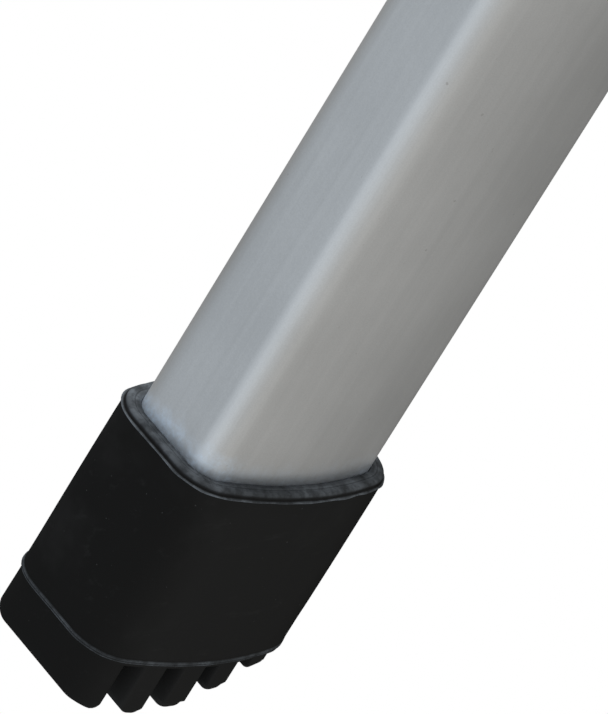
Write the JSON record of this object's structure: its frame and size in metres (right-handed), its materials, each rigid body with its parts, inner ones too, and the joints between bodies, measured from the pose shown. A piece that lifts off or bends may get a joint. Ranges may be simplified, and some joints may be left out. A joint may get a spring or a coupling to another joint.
{
  "type": "ladder stabilizer",
  "caption": "Standoff stabilizer for a leaning ladder: splayed aluminium arms with ribbed rubber feet, and brackets whose hooks and spring latches hold the rungs.",
  "frame": {"origin": "midway between the feet and between the brackets' ends, at the height of the soles' lowest edge", "axes": "+X along the crossbar towards the right foot, +Y up the ladder, +Z away from the wall towards the ladder"},
  "size_m": [1.1278, 0.41, 0.3394],
  "materials": {
    "tube": "satin extruded, lightly brushed along its length",
    "rubber": "satin moulded black",
    "zinc_steel": "bright zinc plated",
    "black_steel": "fine black powder coat",
    "cast_aluminium": "as cast, fine grained",
    "nylon": "black nylon"
  },
  "bodies": {
    "frame": {"left_arm": "tube", "right_arm": "tube", "centre_splice": "tube", "left_foot": "rubber", "right_foot": "rubber", "left_splice_bolt": "zinc_steel", "left_splice_washer": "zinc_steel", "left_splice_nut": "zinc_steel", "right_splice_bolt": "zinc_steel", "right_splice_washer": "zinc_steel", "right_splice_nut": "zinc_steel"},
    "left_bracket": {"left_channel": "tube", "left_upper_jaw": "cast_aluminium", "left_lower_jaw": "cast_aluminium", "left_rung_hook": "black_steel", "left_hook_liner": "rubber", "left_upper_rung_pad": "rubber", "left_lower_rung_pad": "rubber", "left_latch_pin": "zinc_steel", "left_latch_spacer": "nylon", "left_latch_spring": "zinc_steel", "left_clamp_upper_bolt": "zinc_steel", "left_clamp_upper_washer": "zinc_steel", "left_clamp_upper_nut": "zinc_steel", "left_clamp_lower_bolt": "zinc_steel", "left_clamp_lower_washer": "zinc_steel", "left_clamp_lower_nut": "zinc_steel", "left_hook_outer_bolt": "zinc_steel", "left_hook_outer_washer": "zinc_steel", "left_hook_outer_nut": "zinc_steel", "left_hook_inner_bolt": "zinc_steel", "left_hook_inner_washer": "zinc_steel", "left_hook_inner_nut": "zinc_steel"},
    "left_latch_lever": {"left_latch": "black_steel"},
    "right_bracket": {"right_channel": "tube", "right_upper_jaw": "cast_aluminium", "right_lower_jaw": "cast_aluminium", "right_rung_hook": "black_steel", "right_hook_liner": "rubber", "right_upper_rung_pad": "rubber", "right_lower_rung_pad": "rubber", "right_latch_pin": "zinc_steel", "right_latch_spacer": "nylon", "right_latch_spring": "zinc_steel", "right_clamp_upper_bolt": "zinc_steel", "right_clamp_upper_washer": "zinc_steel", "right_clamp_upper_nut": "zinc_steel", "right_clamp_lower_bolt": "zinc_steel", "right_clamp_lower_washer": "zinc_steel", "right_clamp_lower_nut": "zinc_steel", "right_hook_outer_bolt": "zinc_steel", "right_hook_outer_washer": "zinc_steel", "right_hook_outer_nut": "zinc_steel", "right_hook_inner_bolt": "zinc_steel", "right_hook_inner_washer": "zinc_steel", "right_hook_inner_nut": "zinc_steel"},
    "right_latch_lever": {"right_latch": "black_steel"}
  },
  "joints": [
    {"name": "left_bracket_slide", "type": "slide", "parent": "frame", "child": "left_bracket", "axis": [-1, 0, 0], "range_m": [-0.04, 0.04]},
    {"name": "left_latch_hinge", "type": "hinge", "parent": "left_bracket", "child": "left_latch_lever", "pos_m": [-0.11, -0.1754, 0.2736], "axis": [1, 0, 0], "range_deg": [0, 45], "stiffness_Nm_per_rad": 0.25, "springref_deg": -28.65, "deforming": ["left_latch_spring"]},
    {"name": "right_bracket_slide", "type": "slide", "parent": "frame", "child": "right_bracket", "axis": [1, 0, 0], "range_m": [-0.04, 0.04]},
    {"name": "right_latch_hinge", "type": "hinge", "parent": "right_bracket", "child": "right_latch_lever", "pos_m": [0.11, -0.1754, 0.2736], "axis": [1, 0, 0], "range_deg": [0, 45], "stiffness_Nm_per_rad": 0.25, "springref_deg": -28.65, "deforming": ["right_latch_spring"]}
  ]
}
